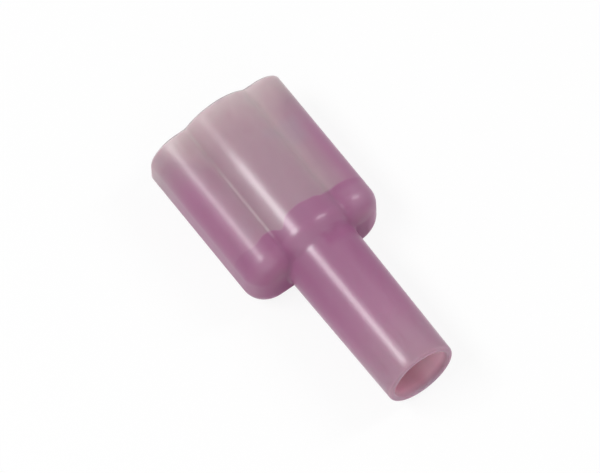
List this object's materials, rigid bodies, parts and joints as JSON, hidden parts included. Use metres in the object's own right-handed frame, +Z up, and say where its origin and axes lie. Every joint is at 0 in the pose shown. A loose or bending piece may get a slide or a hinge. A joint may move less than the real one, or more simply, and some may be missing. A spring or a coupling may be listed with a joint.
{
  "type": "male spade terminal",
  "caption": "Fully insulated male spade terminal: a flat tab inside a translucent moulded sleeve, with a rolled crimp barrel and a round wire entry behind it.",
  "frame": {"origin": "centre of the footprint of the part as it lies on the sleeve's flat face", "axes": "+X along the wire axis towards the mating mouth, +Z up through the ridge, +Y to the left seen from behind the wire entry"},
  "size_m": [0.022, 0.01, 0.0063],
  "materials": {
    "nylon": "translucent pink-purple nylon, glossy",
    "tinned_brass": "bright tin plating"
  },
  "bodies": {
    "root": {"housing": "nylon", "terminal": "tinned_brass"}
  },
  "joints": []
}
